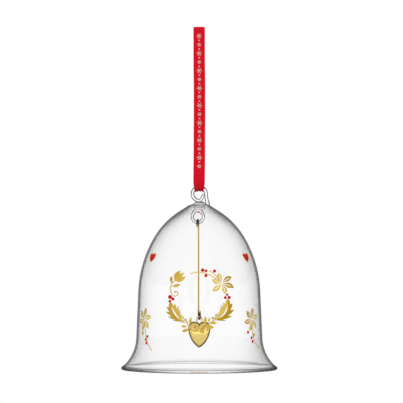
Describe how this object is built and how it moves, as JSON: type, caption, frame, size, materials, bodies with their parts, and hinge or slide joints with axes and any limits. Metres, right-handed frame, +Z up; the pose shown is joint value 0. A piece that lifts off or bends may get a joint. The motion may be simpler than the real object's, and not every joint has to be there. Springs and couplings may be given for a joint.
{
  "type": "christmas bell ornament",
  "caption": "Blown glass bell with fired gold wreath print, hanging on a red satin ribbon loop, with a gold heart clapper on a hooked wire.",
  "frame": {"origin": "axis of the hook or twig that fills the ribbon's top fold, midway across the ribbon", "axes": "+Z up along the hanging bell's axis, +X across the ribbon's face, the decorated front faces -Y"},
  "size_m": [0.096, 0.096, 0.2105],
  "materials": {
    "satin_ribbon": "satin weave",
    "sewing_thread": "matt",
    "blown_glass": "clear, fire polished",
    "fired_gold": "satin fired print",
    "red_enamel": "gloss enamel",
    "gold_plate": "polished"
  },
  "bodies": {
    "ribbon": {"ribbon_loop": "satin_ribbon", "seam_stitches": "sewing_thread"},
    "bell": {"bell_shell": "blown_glass", "crown_plug": "blown_glass", "hanging_loop": "blown_glass", "clapper_loop": "blown_glass", "wreath_gold_print": "fired_gold", "wreath_berries_print": "red_enamel", "sprig_gold_print": "fired_gold", "sprig_berries_print": "red_enamel", "heart_outline_print": "fired_gold", "heart_red_print": "red_enamel"},
    "wire": {"hooked_wire": "gold_plate"},
    "heart": {"heart_bail": "gold_plate", "heart_front": "gold_plate", "heart_back": "gold_plate"}
  },
  "joints": [
    {"name": "bell_swing", "type": "hinge", "parent": "ribbon", "child": "bell", "pos_m": [0, 0, -0.0966], "axis": [1, 0, 0], "range_deg": [-60, 60]},
    {"name": "clapper_swing", "type": "hinge", "parent": "bell", "child": "wire", "pos_m": [-0.00094, 0, -0.11843], "axis": [1, 0, 0], "range_deg": [-20, 20]},
    {"name": "heart_swing", "type": "hinge", "parent": "wire", "child": "heart", "pos_m": [0, 0, -0.17628], "axis": [1, 0, 0], "range_deg": [-25, 25]}
  ]
}
